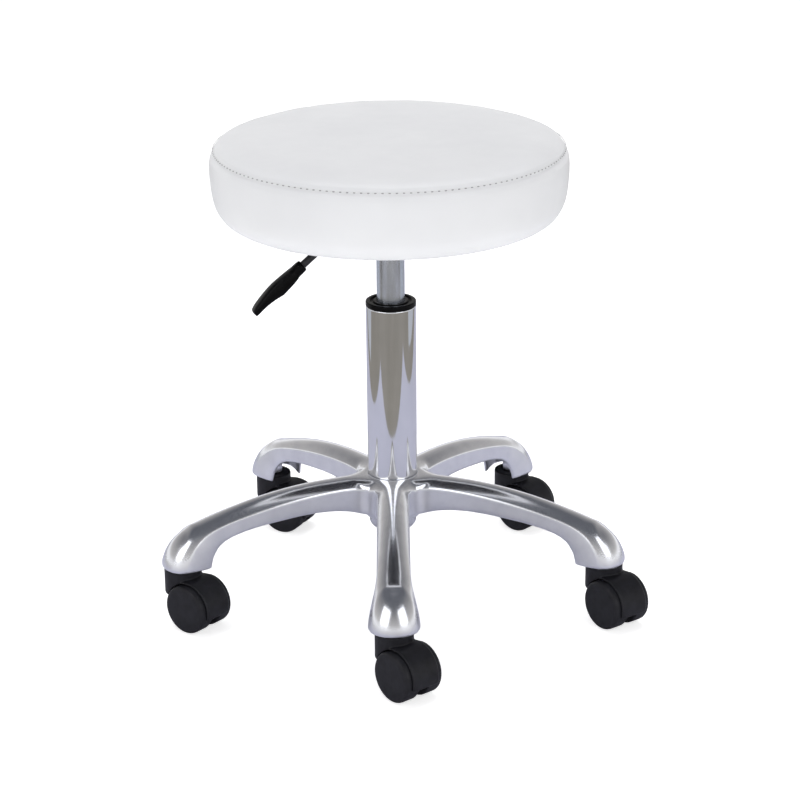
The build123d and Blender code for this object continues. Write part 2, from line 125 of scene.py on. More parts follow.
def grid_faces(rows, columns, wrap=False):
    """Faces between rows of points, each row of the same length."""
    faces = []
    for i in range(rows - 1):
        for j in range(columns if wrap else columns - 1):
            n = (j + 1) % columns
            a = i * columns
            faces.append((a + j, a + n, a + columns + n, a + columns + j))
    return faces


def fix_normals(obj, merge=0.0):
    bm = bmesh.new()
    bm.from_mesh(obj.data)
    if merge:
        bmesh.ops.remove_doubles(bm, verts=bm.verts, dist=merge)
    bmesh.ops.recalc_face_normals(bm, faces=bm.faces)
    bm.to_mesh(obj.data)
    bm.free()


def baked(obj):
    """Replace an object's mesh with the one its modifiers make."""
    graph = bpy.context.evaluated_depsgraph_get()
    mesh = bpy.data.meshes.new_from_object(obj.evaluated_get(graph))
    obj.modifiers.clear()
    obj.data = mesh
    mesh.shade_smooth()
    return obj


def lerp_table(table, x):
    """Smooth value at x from a table of (x, value)."""
    xs = [p[0] for p in table]
    ys = [p[1] for p in table]
    if x <= xs[0]:
        return ys[0]
    if x >= xs[-1]:
        return ys[-1]
    k = max(i for i in range(len(xs)) if xs[i] <= x)
    k = min(k, len(xs) - 2)
    t = (x - xs[k]) / (xs[k + 1] - xs[k])

    def slope(i):
        lo, hi = max(i - 1, 0), min(i + 1, len(xs) - 1)
        return (ys[hi] - ys[lo]) / (xs[hi] - xs[lo])

    h = xs[k + 1] - xs[k]
    a, b = ys[k], ys[k + 1]
    m, n = slope(k) * h, slope(k + 1) * h
    start = (2 * t**3 - 3 * t**2 + 1) * a + (t**3 - 2 * t**2 + t) * m
    return start + (3 * t**2 - 2 * t**3) * b + (t**3 - t**2) * n


# ---------------------------------------------------------------- materials


class Surface:
    """A principled material with helpers for noise-driven colour, roughness and bump."""

    def __init__(self, name, roughness=0.5, metallic=0.0, **sockets):
        self.material = bpy.data.materials.new(name)
        self.material.use_nodes = True
        self.tree = self.material.node_tree
        self.bsdf = self.tree.nodes["Principled BSDF"]
        self.bsdf.inputs["Roughness"].default_value = roughness
        self.bsdf.inputs["Metallic"].default_value = metallic
        for key, value in sockets.items():
            self.bsdf.inputs[key.replace("_", " ")].default_value = value
        self.coordinate = self.tree.nodes.new("ShaderNodeTexCoord").outputs["Object"]
        self.normal = None

    def node(self, kind, **settings):
        made = self.tree.nodes.new(kind)
        for key, value in settings.items():
            if key in made.inputs:
                made.inputs[key].default_value = value
            else:
                setattr(made, key, value)
        return made

    def noise(self, scale, stretch=(1, 1, 1), detail=4.0, rough=0.55):
        mapping = self.node("ShaderNodeMapping", Scale=stretch)
        self.tree.links.new(self.coordinate, mapping.inputs["Vector"])
        made = self.node("ShaderNodeTexNoise", Scale=scale, Detail=detail, Roughness=rough)
        self.tree.links.new(mapping.outputs["Vector"], made.inputs["Vector"])
        return made.outputs["Fac"]

    def cells(self, scale, feature="SMOOTH_F1"):
        made = self.node("ShaderNodeTexVoronoi", Scale=scale, feature=feature)
        self.tree.links.new(self.coordinate, made.inputs["Vector"])
        return made.outputs["Distance"]

    def ranged(self, value, low, high, start=0.3, end=0.7):
        made = self.node("ShaderNodeMapRange")
        for key, number in (("From Min", start), ("From Max", end), ("To Min", low), ("To Max", high)):
            made.inputs[key].default_value = number
        self.tree.links.new(value, made.inputs["Value"])
        return made.outputs["Result"]

    def colour(self, value, dark, light, start=0.3, end=0.7):
        ramp = self.node("ShaderNodeValToRGB")
        ramp.color_ramp.elements[0].position = start
        ramp.color_ramp.elements[1].position = end
        ramp.color_ramp.elements[0].color = (*dark, 1)
        ramp.color_ramp.elements[1].color = (*light, 1)
        self.tree.links.new(value, ramp.inputs["Fac"])
        self.tree.links.new(ramp.outputs["Color"], self.bsdf.inputs["Base Color"])

    def rough(self, value, low, high, start=0.3, end=0.7):
        self.tree.links.new(self.ranged(value, low, high, start, end), self.bsdf.inputs["Roughness"])

    def bump(self, value, strength, distance_mm):
        made = self.node("ShaderNodeBump", Strength=strength, Distance=distance_mm * MM)
        self.tree.links.new(value, made.inputs["Height"])
        if self.normal:
            self.tree.links.new(self.normal, made.inputs["Normal"])
        self.normal = made.outputs["Normal"]
        self.tree.links.new(self.normal, self.bsdf.inputs["Normal"])


def seat_leather():
    s = Surface("seat_leather", roughness=0.42, Specular_IOR_Level=0.42, Coat_Weight=0.12, Coat_Roughness=0.3)
    s.colour(s.noise(9, detail=3), (0.695, 0.70, 0.715), (0.735, 0.74, 0.752))
    s.rough(s.noise(60, detail=5), 0.36, 0.5)
    s.bump(s.noise(45, detail=2), 0.12, 0.4)
    s.bump(s.cells(1150), 0.16, 0.12)
    return s.material


def cast_aluminium():
    """Buffed on the crowns that face up, satin on the side walls, with fine polishing lines."""
    s = Surface("cast_aluminium", roughness=0.22, metallic=1.0)
    s.colour(s.noise(55, detail=3), (0.80, 0.81, 0.86), (0.88, 0.89, 0.93))
    geometry = s.node("ShaderNodeNewGeometry")
    split = s.node("ShaderNodeSeparateXYZ")
    s.tree.links.new(geometry.outputs["Normal"], split.inputs["Vector"])
    satin = s.ranged(split.outputs["Z"], 0.4, 0.19, 0.12, 0.42)
    streaks = s.ranged(s.noise(420, stretch=(1, 1, 6), detail=3), -0.03, 0.05)
    total = s.node("ShaderNodeMath", operation="ADD")
    s.tree.links.new(satin, total.inputs[0])
    s.tree.links.new(streaks, total.inputs[1])
    s.tree.links.new(total.outputs["Value"], s.bsdf.inputs["Roughness"])
    s.bump(s.noise(160, detail=2), 0.06, 0.25)
    s.bump(s.noise(1500, stretch=(1, 1, 0.25), detail=2), 0.05, 0.04)
    return s.material


def chrome():
    s = Surface("column_chrome", roughness=0.04, metallic=1.0)
    s.colour(s.noise(30, detail=2), (0.76, 0.77, 0.80), (0.81, 0.82, 0.85))
    s.rough(s.noise(70, detail=6), 0.03, 0.07)
    s.bump(s.noise(90, stretch=(1, 1, 0.2), detail=1), 0.02, 0.1)
    return s.material


def satin_steel(name="satin_steel", dark=(0.60, 0.64, 0.73), light=(0.70, 0.74, 0.83), low=0.18, high=0.24):
    """Turned finish: the lines run round the axis, so highlights stretch along it."""
    s = Surface(name, roughness=low, metallic=1.0, Anisotropic=0.85, Anisotropic_Rotation=0.25)
    tangent = s.node("ShaderNodeTangent", direction_type="RADIAL", axis="Z")
    s.tree.links.new(tangent.outputs["Tangent"], s.bsdf.inputs["Tangent"])
    s.colour(s.noise(60, stretch=(1, 1, 0.3), detail=3), dark, light)
    s.rough(s.noise(500, stretch=(1, 1, 0.1), detail=4), low, high)
    s.bump(s.noise(1400, stretch=(1, 1, 0.12), detail=2), 0.03, 0.02)
    return s.material


def black_plastic(name, low, high, grain, base, light, specular):
    s = Surface(name, roughness=low, Specular_IOR_Level=specular)
    s.colour(s.noise(120, detail=3), base, light)
    s.rough(s.noise(260, detail=4), low, high)
    s.bump(s.noise(2600, detail=2), grain, 0.06)
    return s.material


def black_paint():
    s = Surface("black_steel", roughness=0.35, metallic=0.2, Specular_IOR_Level=0.5)
    s.colour(s.noise(200, detail=3), (0.014, 0.014, 0.016), (0.026, 0.026, 0.03))
    s.rough(s.noise(700, detail=3), 0.28, 0.42)
    s.bump(s.noise(900, detail=3), 0.2, 0.08)
    return s.material


def lining():
    s = Surface("lining_cloth", roughness=0.95, Specular_IOR_Level=0.2)
    s.colour(s.noise(900, detail=5), (0.008, 0.008, 0.009), (0.03, 0.03, 0.033))
    s.bump(s.cells(420, "F1"), 0.5, 0.2)
    return s.material


def plywood():
    s = Surface("plywood", roughness=0.6)
    s.colour(s.noise(120, stretch=(1, 0.1, 1), detail=6), (0.42, 0.27, 0.14), (0.62, 0.44, 0.26))
    s.bump(s.noise(700, stretch=(1, 0.1, 1)), 0.2, 0.2)
    return s.material


def plain(name, dark, light, low, high):
    s = Surface(name, roughness=low)
    s.colour(s.noise(300), dark, light)
    s.rough(s.noise(500), low, high)
    s.bump(s.noise(1200), 0.15, 0.1)
    return s.material


MATERIALS = {
    "seat_leather": seat_leather(),
    "cast_aluminium": cast_aluminium(),
    "column_chrome": chrome(),
    "satin_steel": satin_steel(),
    "steel": satin_steel("steel", (0.42, 0.43, 0.45), (0.56, 0.57, 0.59), 0.25, 0.4),
    "black_steel": black_paint(),
    "black_plastic": black_plastic("black_plastic", 0.26, 0.36, 0.06,
                                   (0.0015, 0.0015, 0.002), (0.003, 0.003, 0.0035), 0.1),
    "caster_nylon": black_plastic("caster_nylon", 0.4, 0.5, 0.1,
                                  (0.007, 0.007, 0.009), (0.012, 0.012, 0.016), 0.25),
    "inner_plastic": plain("inner_plastic", (0.62, 0.61, 0.58), (0.72, 0.71, 0.68), 0.35, 0.5),
    "lining_cloth": lining(),
    "plywood": plywood(),
    "foam": plain("foam", (0.7, 0.62, 0.4), (0.8, 0.73, 0.5), 0.9, 1.0),
    "seal_rubber": plain("seal_rubber", (0.01, 0.01, 0.01), (0.02, 0.02, 0.02), 0.6, 0.8),
}


def dress_cad_nodes():
    """Every carried-over node takes the material of its record slot."""
    slots = {s["node"]: s["material_slot"] for s in frame["record"]["subparts"]}
    for name, obj in frame["nodes"].items():
        obj.data.materials.clear()
        obj.data.materials.append(MATERIALS[slots[name]])


# ---------------------------------------------------------------- star base casting

HALF = 16.2
WEB_R = 17.0
STEP = radians(72)
# Radius along a leg and height of the crown's middle line and of the crown's edge
CROWN = [(25, 132.9), (44, 132.8), (60, 132.6), (85, 131.6), (104, 129.8), (124, 126.9), (143, 123.2),
         (160, 118.9), (173, 115.1)]
EDGE = [(31, 123.6), (39, 124.6), (49, 125.6), (66, 125.2), (84, 123.9), (104, 121.4), (124, 118.2),
        (143, 114.4), (160, 110.6), (173, 107.2)]
LOWER = [(31, 96.5), (39, 97.2), (46, 99.2), (55, 101.8), (66, 103.4), (84, 104.3), (104, 103.3), (124, 101),
         (143, 98.6), (160, 95.2), (173, 91.4)]
# Stations of the foot: crown middle (x, z), crown edge (x, half width, z), lower edge (x, half width, z)
FOOT = [
    ((173, 115.3), (173, 15.8, 107.3), (173, 16.6, 91.4)),
    ((190, 109.9), (186, 16.1, 103.6), (181, 16.8, 87.6)),
    ((205.4, 104.8), (197, 17.0, 99.2), (186.5, 17.2, 83.4)),
    ((217.6, 99.3), (205.5, 18.4, 94.2), (190, 17.6, 79)),
    ((227.2, 93), (212, 20.4, 88.4), (192.4, 18, 74.6)),
    ((234.4, 85.4), (216.8, 22.3, 81.8), (194, 18.4, 70.4)),
    ((239.5, 77), (220.1, 23.8, 75.2), (195, 18.8, 66.8)),
    ((242.6, 68.6), (222.2, 24.8, 68), (195.5, 19.0, 64)),
    ((243.6, 61.9), (223, 25.2, 61.9), (195.8, 19.1, 61.9)),
]
CROWN_COLUMNS = 4
WALL_ROWS = 3


def crown_drop(u):
    """Share of the crown's fall at share u of its half width: a circular arc."""
    k = 0.78
    return (1 - sqrt(1 - (k * u) ** 2)) / (1 - sqrt(1 - k * k))


def edge_half_width(x, half):
    """Half width of a leg at x, with the round web that joins it to the next leg."""
    centre = (half + WEB_R) / sin(STEP / 2)
    cx, cy = centre * cos(STEP / 2), centre * sin(STEP / 2)
    if x >= cx:
        return half
    return cy - sqrt(max(0.0, WEB_R**2 - (x - cx) ** 2))


def half_leg_rows():
    """Rows of points on the +Y half of the leg along +X, from the column outwards."""
    rows = []
    shares = [k / CROWN_COLUMNS for k in range(CROWN_COLUMNS + 1)]
    web_x = ((HALF + WEB_R) / sin(STEP / 2) - WEB_R) * cos(STEP / 2)

    def web_line(u):
        y = edge_half_width(web_x, HALF) * u
        return 43 + (web_x - 43) * u**1.7, y

    for r, z in ((25.05, 121), (25.05, 131.6), (25.4, 132.6), (27.2, 132.95)):
        rows.append([(r * cos(STEP / 2 * u), r * sin(STEP / 2 * u), z) for u in shares])
    for v in (0.33, 0.68):
        row = []
        for u in shares:
            ax, ay = 27.2 * cos(STEP / 2 * u), 27.2 * sin(STEP / 2 * u)
            bx, by = web_line(u)
            drop = (132.9 - 123.8) * crown_drop(u) * v**2.2
            row.append((ax + (bx - ax) * v, ay + (by - ay) * v, 132.95 - 0.1 * v - drop))
        rows.append(row)
    along = [(web_x, 43), (34.5, 45.5), (38.5, 48.5), (43.5, 52.5), (52, 59), (66, 70), (84, 86), (104, 105),
             (124, 124.5), (143, 143), (160, 160)]
    for x_edge, x_mid in along:
        w = edge_half_width(x_edge, HALF) - 0.5
        z_mid, z_edge, z_low = lerp_table(CROWN, x_mid), lerp_table(EDGE, x_edge), lerp_table(LOWER, x_edge)
        low_w = edge_half_width(x_edge, HALF + 0.3) if x_edge > web_x + 0.1 else w + 0.5
        low_x = x_edge if x_edge > web_x + 0.1 else web_x + 0.4
        row = []
        for u in shares:
            x = x_mid + (x_edge - x_mid) * u**1.7
            row.append((x, w * u, z_mid + (z_edge - z_mid) * crown_drop(u)))
        if x_edge == web_x:
            row[-1] = (web_x, edge_half_width(web_x, HALF), z_edge)
        for k in range(1, WALL_ROWS + 1):
            s = k / WALL_ROWS
            x, y, _ = row[CROWN_COLUMNS]
            row.append((x * (1 - s) + low_x * s, y * (1 - s) + low_w * s, z_edge + (z_low - z_edge) * s))
        if x_edge == web_x:
            for k in range(CROWN_COLUMNS, len(row)):
                r = sqrt(row[k][0] ** 2 + row[k][1] ** 2)
                row[k] = (r * cos(STEP / 2), r * sin(STEP / 2), row[k][2])
        rows.append(row)
    last = len(FOOT) - 1
    for n, ((xc, zc), (xe, we, ze), (xl, wl, zl)) in enumerate(FOOT):
        t = n / last
        row = []
        for u in shares:
            across = (1 - t) * u + t * sin(pi / 2 * u)
            down = (1 - t) * crown_drop(u) + t * (1 - cos(pi / 2 * u))
            row.append((xc + (xe - xc) * down, we * across, zc + (ze - zc) * down))
        for k in range(1, WALL_ROWS + 1):
            s = k / WALL_ROWS
            bulge = 1.5 * t * sin(pi * s)
            row.append((xe + (xl - xe) * s, we + (wl - we) * s + bulge, ze + (zl - ze) * s))
        rows.append(row)
    return rows


def foot_crest(obj):
    """Raises the arched edge round the nose of each foot."""
    toe_r, toe_z = 243.6, 61.9
    half_width, base, rise = 21.5, 12, 37
    height, spread = 0.8, 3.0
    moves = []
    for v in obj.data.vertices:
        angle = atan2(v.co.y, v.co.x) + pi / 2
        turn = Matrix.Rotation(pi / 2 - STEP * round(angle / STEP), 3, "Z")
        p, normal = turn @ v.co / MM, turn @ v.normal
        outward = Vector((p.x - 195, p.y, p.z - 60)).normalized()
        if p.x < 190 or abs(p.y) > 23 or normal.dot(outward) < 0.2:
            continue
        # Distance up the nose in the leaning plane that the arch lies in
        up = (p.z - toe_z) * 0.93 + (toe_r - p.x) * 0.366
        share = min(1, abs(p.y) / half_width)
        arch = base + rise * sqrt(1 - share**2)
        slope = rise * share / half_width / max(0.15, sqrt(1 - share**2))
        away = (up - arch) / sqrt(1 + slope**2)
        moves.append((v, v.normal * MM * (height * (1 - share**4) * np.exp(-((away / spread) ** 2)))))
    for v, move in moves:
        v.co += move


def star_base():
    rows = half_leg_rows()
    points, faces, creases = [], [], []
    for i in range(LEGS):
        turn = Matrix.Rotation(radians(-90) + STEP * i, 3, "Z")
        for side in (1, -1):
            index = []
            for row in rows:
                ids = []
                for x, y, z in row:
                    ids.append(len(points))
                    points.append(turn @ Vector((x, y * side, z)))
                index.append(ids)
            for a, b in zip(index, index[1:]):
                for j in range(min(len(a), len(b)) - 1):
                    faces.append([a[j], a[j + 1], b[j + 1], b[j]])
            first_wall = next(k for k, row in enumerate(rows) if len(row) > CROWN_COLUMNS + 1)
            for k in range(first_wall, len(index) - 1):
                fade = 0.72 if k < len(index) - 6 else 0.55
                creases.append((index[k][CROWN_COLUMNS], index[k + 1][CROWN_COLUMNS], fade))
    obj = mesh_object("star_base_casting", points, faces, MATERIALS["cast_aluminium"])
    crease = obj.data.attributes.new("crease_edge", "FLOAT", "EDGE")
    lookup = {tuple(sorted(e.vertices)): e.index for e in obj.data.edges}
    for a, b, value in creases:
        crease.data[lookup[tuple(sorted((a, b)))]].value = value
    fix_normals(obj, merge=0.00002)
    shell = obj.modifiers.new("wall", "SOLIDIFY")
    shell.thickness = 0.0038
    shell.offset = -1
    shell.use_quality_normals = True
    shell.edge_crease_rim = 0.55
    smooth = obj.modifiers.new("smooth", "SUBSURF")
    smooth.levels = smooth.render_levels = 2
    baked(obj)
    foot_crest(obj)

    extra = []
    hub = rounded([(24.3, 88), (28, 88, 1), (28.2, 97, 2), (33, 100.5, 2), (33.6, 127)], 3)
    extra.append((lathe(hub, 80), Matrix.Identity(4)))
    boss = rounded([(5.55, 62.2), (9.4, 62.2, 1), (9.8, 70, 3), (10, 80.5)], 3)
    for i in range(LEGS):
        angle = radians(-90) + STEP * i
        extra.append((lathe(boss, 40), Matrix.Rotation(angle, 4, "Z") @ Matrix.Translation((CASTER_R, 0, 0))))
        rib = []
        for x in (32, 55, 78, 101):
            top = lerp_table(CROWN, x) - 4
            bottom = 104 + 0.14 * (x - 32)
            rib += [(x, 1.7, top), (x, 1.6, bottom + 0.8), (x, 0.7, bottom)]
            rib += [(x, -0.7, bottom), (x, -1.6, bottom + 0.8), (x, -1.7, top)]
        faces = grid_faces(4, 6) + [(23, 22, 21, 20, 19, 18)]
        extra.append(((rib, faces), Matrix.Rotation(angle, 4, "Z")))
    bm = bmesh.new()
    bm.from_mesh(obj.data)
    for (pts, fcs), move in extra:
        made = [bm.verts.new((move @ Vector(p)) * MM) for p in pts]
        for f in fcs:
            bm.faces.new([made[v] for v in f]).smooth = True
    bmesh.ops.recalc_face_normals(bm, faces=bm.faces)
    bm.to_mesh(obj.data)
    bm.free()
    obj.data.shade_smooth()
    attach(obj, "base")
    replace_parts(obj, "star_base")


# ---------------------------------------------------------------- column and gas lift


def column():
    tube = rounded([(18, 77), (18, 75, 0.8), (20.5, 75, 1.5), (23.7, 79.2, 2), (25, 133, 1), (25, 309.5),
                    (24.7, 311, 0.6), (23.2, 311, 0.4), (23.2, 290)])
    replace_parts(turned("column_chromed_tube", tube, MATERIALS["column_chrome"], "base", 160),
                "column_tube")
    cap = rounded([(14.35, 311), (14.35, 316.2, 0.7), (17.2, 316.2, 0.5), (17.6, 314.4, 0.4),
                   (20.9, 314.4, 0.4), (21.3, 316.2, 0.5), (25.2, 316.2, 1.3), (25.2, 311.2, 0.4),
                   (24.4, 310.9), (14.35, 311)])
    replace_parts(turned("column_top_cap", cap, MATERIALS["black_plastic"], "base", 128),
                "column_cap")
    cylinder = rounded([(12.5, 100), (14, 100, 0.8), (14, 360, 1), (13.3, 388, 0.6), (4.1, 388)])
    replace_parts(turned("lift_cylinder", cylinder, MATERIALS["satin_steel"], "seat", 128),
                "gas_cylinder")


# ---------------------------------------------------------------- casters


def caster_place(index):
    angle = radians(-90) + STEP * index
    centre = Matrix.Translation((CASTER_R * MM * cos(angle), CASTER_R * MM * sin(angle), 0))
    return centre @ Matrix.Rotation(radians(-CASTER_TRAIL_DEG[index]), 4, "Z")


def solid(name, points, faces):
    obj = mesh_object(name, points, faces, MATERIALS["caster_nylon"])
    fix_normals(obj, merge=0.000001)
    return obj


def cylinder_solid(radius, low, high, across=None, bevel=0.0, segments=96):
    """Closed cylinder along Z, or along the axle's line if across gives its (x, z)."""
    outline = rounded([(0, low), (radius, low, bevel), (radius, high, bevel), (0, high)], 5)
    points, faces = lathe(outline, segments)
    if across:
        points = [(across[0] + p[0], p[2], across[1] - p[1]) for p in points]
    return solid("cutter", points, faces)


def box_solid(low, high):
    (a, b, c), (d, e, f) = low, high
    points = [(a, b, c), (d, b, c), (d, e, c), (a, e, c), (a, b, f), (d, b, f), (d, e, f), (a, e, f)]
    faces = [(0, 3, 2, 1), (4, 5, 6, 7), (0, 1, 5, 4), (1, 2, 6, 5), (2, 3, 7, 6), (3, 0, 4, 7)]
    return solid("cutter", points, faces)


def carve(obj, other, operation):
    change = obj.modifiers.new("carve", "BOOLEAN")
    change.operation = operation
    change.solver = "EXACT"
    change.object = other
    baked(obj)
    bpy.data.objects.remove(other)


def hood_mesh():
    """Neck, arched hood and centre rib in the caster's own frame: trail along +X, axle along Y."""
    axle = (20, 25)
    hood = cylinder_solid(27.7, -16.4, 16.4, axle, bevel=3.2)
    carve(hood, box_solid((-30, -30, -10), (60, 30, 18)), "DIFFERENCE")
    carve(hood, box_solid((-30, -30, -10), (16, 30, 33.5)), "DIFFERENCE")
    carve(hood, cylinder_solid(18.7, 33.5, 61.3, bevel=1.2), "UNION")
    for low, high in ((4.2, 40), (-40, -4.2)):
        carve(hood, cylinder_solid(25.8, low, high, axle), "DIFFERENCE")
    carve(hood, cylinder_solid(17, -4.2, 4.2, axle, bevel=0.5), "UNION")
    remesh = hood.modifiers.new("remesh", "REMESH")
    remesh.mode = "VOXEL"
    remesh.voxel_size = 0.00062
    soften = hood.modifiers.new("soften", "SMOOTH")
    soften.factor = 0.5
    soften.iterations = 7
    baked(hood)
    mesh = hood.data
    bpy.data.objects.remove(hood)
    return mesh


def wheel_mesh(side):
    outline = rounded([(4.1, 4.8), (8, 4.8, 0.5), (8, 17.6, 1), (20.8, 17.6, 1), (20.8, 5.6, 0.5),
                       (24.1, 5.4, 0.8), (25, 6.5, 0.6), (25, 18.6, 0.8), (24.6, 20.4, 1),
                       (23.2, 21.8, 1), (20.6, 22.35, 2),
                       (14, 22.5, 2), (0, 22.6)], 4)
    points, faces = lathe(outline, 96)
    points = [(20 + p[0], p[2] * side, 25 - p[1] * side) for p in points]
    obj = solid("wheel", points, faces)
    obj.modifiers.new("normals", "WEIGHTED_NORMAL")
    baked(obj)
    mesh = obj.data
    bpy.data.objects.remove(obj)
    return mesh


def casters():
    hood, wheel_a, wheel_b = hood_mesh(), wheel_mesh(1), wheel_mesh(-1)
    for i in range(LEGS):
        for mesh, part, body in ((hood, "hood", f"caster_{i + 1}"),
                                 (wheel_a, "wheel_a", f"caster_{i + 1}_wheel_a"),
                                 (wheel_b, "wheel_b", f"caster_{i + 1}_wheel_b")):
            obj = bpy.data.objects.new(f"moulded_{part}_{i + 1}", mesh)
            bpy.context.scene.collection.objects.link(obj)
            obj.matrix_world = caster_place(i)
            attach(obj, body)
            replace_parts(obj, f"caster_{i + 1}_{part}")


# ---------------------------------------------------------------- release lever

LEVER_TURN = radians(195)
TIP = Vector((141, 0, 317))
SLOPE = atan2(81, 98)
# Distance from the tip, half width, height of the upper and of the lower face off the rod's line
GRIP = [(68.3, 5.2, 5.2, -5.2), (67.5, 6.2, 6.2, -6.2), (60, 6.4, 6.4, -6.5), (57.5, 5.8, 5.8, -6.0),
        (55, 6.9, 5.9, -6.9), (46, 7.8, 6.4, -7.8), (36, 8.0, 6.8, -8.6), (33.5, 8.0, 6.8, -8.5),
        (26, 8.0, 6.3, -6.4), (15, 8.0, 4.4, -5.2), (7, 7.7, 2.7, -5.6), (2.2, 7.0, 1.1, -6.1),
        (0.3, 5.4, -0.4, -5.4)]


def lever_grip():
    along = Vector((-cos(SLOPE), 0, sin(SLOPE)))
    up = Vector((sin(SLOPE), 0, cos(SLOPE)))
    around, points = 24, []
    for distance, half, top, bottom in GRIP:
        middle, height = (top + bottom) / 2, (top - bottom) / 2
        square = 2.0 if distance > 58 else 3.2
        for k in range(around):
            a = 2 * pi * k / around
            c, s = cos(a), sin(a)
            y = half * abs(c) ** (2 / square) * (1 if c >= 0 else -1)
            h = middle + height * abs(s) ** (2 / square) * (1 if s >= 0 else -1)
            points.append(TIP + along * distance + up * h + Vector((0, y, 0)))
    faces = grid_faces(len(GRIP), around, wrap=True)
    faces += [list(range(around)), list(range(len(points) - around, len(points)))]
    turn = Matrix.Rotation(LEVER_TURN, 3, "Z")
    points = [turn @ p for p in points]
    obj = mesh_object("lever_handle", points, faces, MATERIALS["black_plastic"])
    fix_normals(obj)
    smooth = obj.modifiers.new("smooth", "SUBSURF")
    smooth.levels = smooth.render_levels = 2
    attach(obj, "lever")
    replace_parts(obj, "lever_grip")


# ---------------------------------------------------------------- seat cushion

# Outline of the cushion from the underside's middle round to the top's middle (radius, height, corner radius)
SIDE = [(130.5, 405.3), (131, 404.2, 0.4), (133, 403.9, 0.6), (150, 404, 4), (158, 405.4), (164.5, 408.6),
        (169.2, 413.8), (172.2, 420), (173.9, 428), (175, 437), (175.8, 446), (176.3, 454), (176.2, 460),
        (175.3, 465.5), (173.6, 470), (171.9, 472.8), (170.6, 474.6), (168.9, 476.5), (166, 478.2),
        (162, 479.5), (152, 480.8), (138, 481.4), (120, 481.8), (95, 482), (60, 482.1), (25, 482.1)]
SEAM = (169.3, 476.1)
STITCH = (171.4, 473.4)
STITCHES = 166


def refine(outline, step):
    """Points at most step apart along a smooth curve through the outline."""
    out = [outline[0]]
    for i in range(len(outline) - 1):
        p = [Vector(outline[min(max(k, 0), len(outline) - 1)]) for k in (i - 1, i, i + 1, i + 2)]
        count = max(1, int((p[2] - p[1]).length / step + 0.5))
        for n in range(1, count + 1):
            t = n / count
            bend = 2 * p[0] - 5 * p[1] + 4 * p[2] - p[3]
            twist = 3 * p[1] - p[0] - 3 * p[2] + p[3]
            out.append(tuple(0.5 * (2 * p[1] + (p[2] - p[0]) * t + bend * t**2 + twist * t**3)))
    return out


def cushion_profile():
    raw = rounded(SIDE, 3)
    near = [p for p in raw if p[1] > 464 and p[0] > 156]
    first, last = raw.index(near[0]), raw.index(near[-1])
    fine = refine(raw[: first + 1], 5)[:-1] + refine(raw[first: last + 1], 0.7)[:-1] + refine(raw[last:], 7)
    return [(0, 405.3), (60, 405.3), (110, 405.3)] + fine + [(12, 482.1), (0, 482.1)]


def swell(obj, cap_mm):
    """Cloth simulation of the padded cover on a remeshed copy: returns its rest points and their moves."""
    copy = bpy.data.objects.new("cushion_simulation", obj.data.copy())
    bpy.context.scene.collection.objects.link(copy)
    remesh = copy.modifiers.new("remesh", "REMESH")
    remesh.mode = "VOXEL"
    remesh.voxel_size = 0.005
    baked(copy)
    rest = np.array([v.co for v in copy.data.vertices], float)
    pins = copy.vertex_groups.new(name="pins")
    pins.add([i for i, p in enumerate(rest) if p[2] < 0.409], 1.0, "REPLACE")
    cloth = copy.modifiers.new("cloth", "CLOTH")
    cloth.settings.vertex_group_mass = "pins"
    cloth.settings.quality = 6
    cloth.settings.use_pressure = True
    cloth.settings.uniform_pressure_force = 4
    cloth.settings.effector_weights.gravity = 0
    cloth.settings.tension_stiffness = 25
    cloth.settings.compression_stiffness = 25
    cloth.settings.bending_stiffness = 2
    cloth.point_cache.frame_start = 1
    cloth.point_cache.frame_end = 20
    scene = bpy.context.scene
    for number in range(1, 21):
        scene.frame_set(number)
    baked(copy)
    moved = np.array([v.co for v in copy.data.vertices], float) - rest
    length = np.linalg.norm(moved, axis=1, keepdims=True)
    moved *= np.minimum(1, cap_mm * MM / np.maximum(length, 1e-9))
    bpy.data.objects.remove(copy)
    scene.frame_set(1)
    return rest, moved


def cushion():
    profile = cushion_profile()
    points, faces = lathe(profile, 240)
    obj = mesh_object("seat_cushion", points, faces, MATERIALS["seat_leather"])
    fix_normals(obj)
    co = np.array([v.co for v in obj.data.vertices], float)
    rest, moved = swell(obj, 1.2)
    tree = KDTree(len(rest))
    for i, p in enumerate(rest):
        tree.insert(p, i)
    tree.balance()
    for i, p in enumerate(co):
        if p[2] < 0.409 and p[0] ** 2 + p[1] ** 2 < 0.155**2:
            continue
        found = tree.find_n(p, 28)
        weights = np.array([1 / (d + 0.006) for _, _, d in found])
        co[i] += (moved[[k for _, k, _ in found]] * weights[:, None]).sum(0) / weights.sum()
    for i, p in enumerate(co):
        radius, angle = sqrt(p[0] ** 2 + p[1] ** 2), atan2(p[1], p[0])
        if radius < 0.02:
            continue
        out = Vector((p[0] / radius, p[1] / radius, 0))
        seam = sqrt((radius / MM - SEAM[0]) ** 2 + (p[2] / MM - SEAM[1]) ** 2)
        stitch = sqrt((radius / MM - STITCH[0]) ** 2 + (p[2] / MM - STITCH[1]) ** 2)
        dip = 0.75 * np.exp(-((seam / 0.8) ** 2)) + 0.3 * np.exp(-((stitch / 1.4) ** 2))
        pull = 0.1 * np.exp(-((stitch / 4.0) ** 2)) * (1 - cos(angle * STITCHES))
        wave = 0.22 * noise.noise(Vector((cos(angle) * 7, sin(angle) * 7, p[2] * 22)))
        side = min(1, max(0, (radius - 0.15) / 0.02))
        shift = -(dip + pull) + wave * side
        inward = (out * 0.75 + Vector((0, 0, 0.65))) if p[2] > 0.465 else out
        co[i] += np.array(inward) * shift * MM
    obj.data.vertices.foreach_set("co", co.ravel())
    obj.data.update()
    smooth = obj.modifiers.new("smooth", "SUBSURF")
    smooth.levels = smooth.render_levels = 1
    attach(obj, "seat")
    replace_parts(obj, "seat_cover", "seat_foam")
    return obj


